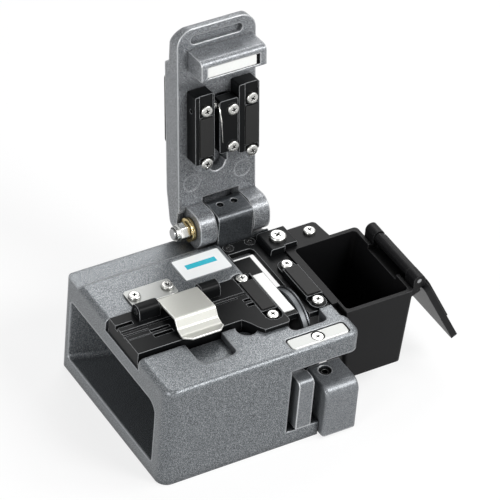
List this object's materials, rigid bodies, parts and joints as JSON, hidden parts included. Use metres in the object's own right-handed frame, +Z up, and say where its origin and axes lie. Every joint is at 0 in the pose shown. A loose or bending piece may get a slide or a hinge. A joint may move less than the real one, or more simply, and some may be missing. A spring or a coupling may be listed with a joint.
{
  "type": "fibre cleaver",
  "caption": "Bench fibre cleaver with a grip loop, hinged clamp lid, sprung fibre clip, scoring wheel on a sliding carriage and a bin with a hinged flap.",
  "frame": {"origin": "under the middle of the cast body, on the table", "axes": "+X to the bin, +Y to the back where the lid is hinged, +Z up"},
  "size_m": [0.1606, 0.1196, 0.1584],
  "materials": {
    "cast_grey": "speckled satin silver-grey paint",
    "hinge_grey": "satin grey",
    "push_grey": "speckled satin grey paint",
    "black_anodised": "black anodised",
    "black_plastic": "fine satin black",
    "rubber_black": "matte black",
    "nickel_screw": "nickel plated",
    "black_screw": "black oxide",
    "bright_steel": "bright",
    "ground_steel": "ground",
    "chrome_sheet": "polished",
    "brass": "bright",
    "carriage_alu": "dark anodised",
    "carbide": "ground and polished",
    "white_label": "glossy white",
    "pale_strip": "pale grey"
  },
  "bodies": {
    "base": {"main_body": "cast_grey", "base_pad": "rubber_black", "closing_plate": "bright_steel", "closing_plate_screw": "nickel_screw", "label": "white_label", "fibre_platform": "black_anodised", "clip_pin": "bright_steel", "spring_plate": "bright_steel", "spring_plate_screws": "nickel_screw", "left_lower_clamp": "black_anodised", "right_lower_clamp": "black_anodised", "left_lower_rubber": "rubber_black", "right_lower_rubber": "rubber_black", "lower_clamp_screws": "nickel_screw", "bay_deck": "black_anodised", "deck_screws": "black_screw", "support_strip": "pale_strip", "hinge_block": "hinge_grey", "hinge_set_screws": "black_screw", "hinge_pin": "nickel_screw", "hinge_nut": "nickel_screw", "hinge_washer": "brass", "linear_rail": "ground_steel", "rail_screws": "nickel_screw", "bin_bracket": "black_anodised", "bracket_screw": "nickel_screw", "flange_screw": "nickel_screw", "scrap_bin": "black_plastic", "flap_pin": "bright_steel"},
    "clip": {"fibre_clip": "chrome_sheet"},
    "lid": {"lid_shell": "cast_grey", "lid_top_pad": "black_plastic", "lid_magnet": "bright_steel", "left_upper_clamp": "black_anodised", "left_upper_rubber": "rubber_black", "right_upper_clamp": "black_anodised", "right_upper_rubber": "rubber_black", "upper_clamp_screws": "nickel_screw", "anvil_pin": "bright_steel", "anvil_spring": "ground_steel"},
    "anvil": {"anvil_arm": "black_anodised", "anvil_screws": "nickel_screw"},
    "carriage": {"rail_bearing": "ground_steel", "carriage_tray": "carriage_alu", "blade_holder": "push_grey", "blade_axle": "ground_steel", "push_block": "push_grey", "push_block_screw": "nickel_screw"},
    "wheel": {"dial_wheel": "carriage_alu", "blade_disc": "carbide"},
    "flap": {"bin_flap": "black_plastic"}
  },
  "joints": [
    {"name": "lid_hinge", "type": "hinge", "parent": "base", "child": "lid", "pos_m": [0.0297, 0.0415, 0.0604], "axis": [1, 0, 0], "range_deg": [0, 96.2]},
    {"name": "anvil_press", "type": "hinge", "parent": "lid", "child": "anvil", "pos_m": [0.0298, 0.05067, 0.12001], "axis": [1, 0, 0], "range_deg": [0, 2.6], "stiffness_Nm_per_rad": 0.05, "springref_deg": -5.73},
    {"name": "clip_hinge", "type": "hinge", "parent": "base", "child": "clip", "pos_m": [-0.0165, 0.0036, 0.0594], "axis": [1, 0, 0], "range_deg": [-70, 0], "stiffness_Nm_per_rad": 0.01, "springref_deg": 20.05},
    {"name": "carriage_slide", "type": "slide", "parent": "base", "child": "carriage", "axis": [0, 1, 0], "range_m": [0, 0.02]},
    {"name": "wheel_turn", "type": "hinge", "parent": "carriage", "child": "wheel", "pos_m": [0.0325, -0.013, 0.0382], "axis": [1, 0, 0], "continuous": true},
    {"name": "flap_hinge", "type": "hinge", "parent": "base", "child": "flap", "pos_m": [0.088, -0.01025, 0.0572], "axis": [0, 1, 0], "range_deg": [-238, 0]}
  ]
}
